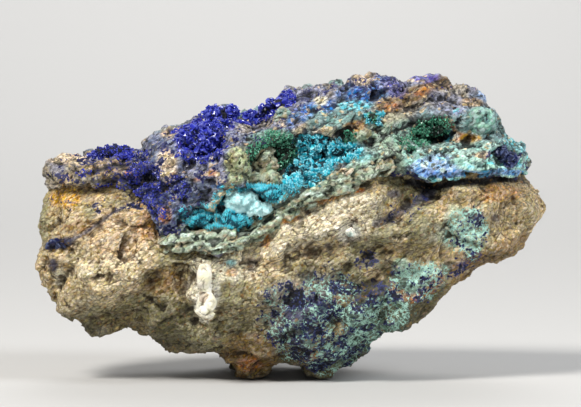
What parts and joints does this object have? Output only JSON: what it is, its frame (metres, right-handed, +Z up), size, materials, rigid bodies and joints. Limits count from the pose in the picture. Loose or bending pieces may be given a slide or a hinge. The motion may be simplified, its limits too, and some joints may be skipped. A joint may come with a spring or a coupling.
{
  "type": "brochantite mineral specimen",
  "caption": "Freestanding rock specimen: granular tan host rock under a copper-mineral crust with brochantite sprays, azurite druse and mint-green malachite.",
  "frame": {"origin": "under the middle of the specimen, on the surface that it stands on", "axes": "+X right along the specimen seen from its display face, +Y away from the display face, +Z up"},
  "size_m": [0.1, 0.0456, 0.061],
  "materials": {
    "host_rock": "sugary granular broken limestone-like rock, tan and olive, stained orange-brown",
    "mineral_crust": "knobbly grey-violet, blue-green and mint copper-mineral crust",
    "azurite": "bladed druse of deep ultramarine crystals, glassy",
    "dark_azurite": "black-navy glassy knots",
    "brochantite": "sprays of silky blue-green needles",
    "silky_brochantite": "pale silky felt of fine needles",
    "deep_brochantite": "dark emerald prisms, glassy",
    "nodule": "dull knobbly nodules, beige-green",
    "chrysocolla": "dull grey-teal rounded lumps with a pale bloom",
    "quartz": "milky broken quartz"
  },
  "bodies": {
    "root": {"azurite_druse_left_pocket": "azurite", "azurite_druse_left_ridge": "azurite", "azurite_druse_main": "azurite", "azurite_druse_peak": "azurite", "azurite_druse_saddle": "azurite", "azurite_druse_slope": "azurite", "azurite_knots_right_pocket": "dark_azurite", "brochantite_fan_left": "brochantite", "brochantite_fan_lower": "brochantite", "brochantite_fan_middle": "brochantite", "brochantite_knob_teal": "deep_brochantite", "brochantite_prism_small": "deep_brochantite", "brochantite_prisms_back": "deep_brochantite", "brochantite_prisms_green": "deep_brochantite", "brochantite_silky_patch": "silky_brochantite", "brochantite_tuft_low": "brochantite", "brochantite_tufts_centre": "brochantite", "brochantite_tufts_right": "brochantite", "brochantite_tufts_upper": "brochantite", "chrysocolla_nodule_large": "chrysocolla", "chrysocolla_nodule_small": "chrysocolla", "crust": "mineral_crust", "malachite_nodule_beige": "nodule", "malachite_nodule_grey": "nodule", "malachite_nodule_ledge": "nodule", "malachite_nodule_olive": "nodule", "malachite_nodule_pale": "nodule", "malachite_nodule_pink": "nodule", "matrix": "host_rock", "quartz_chip": "quartz", "quartz_eye": "quartz"}
  },
  "joints": []
}
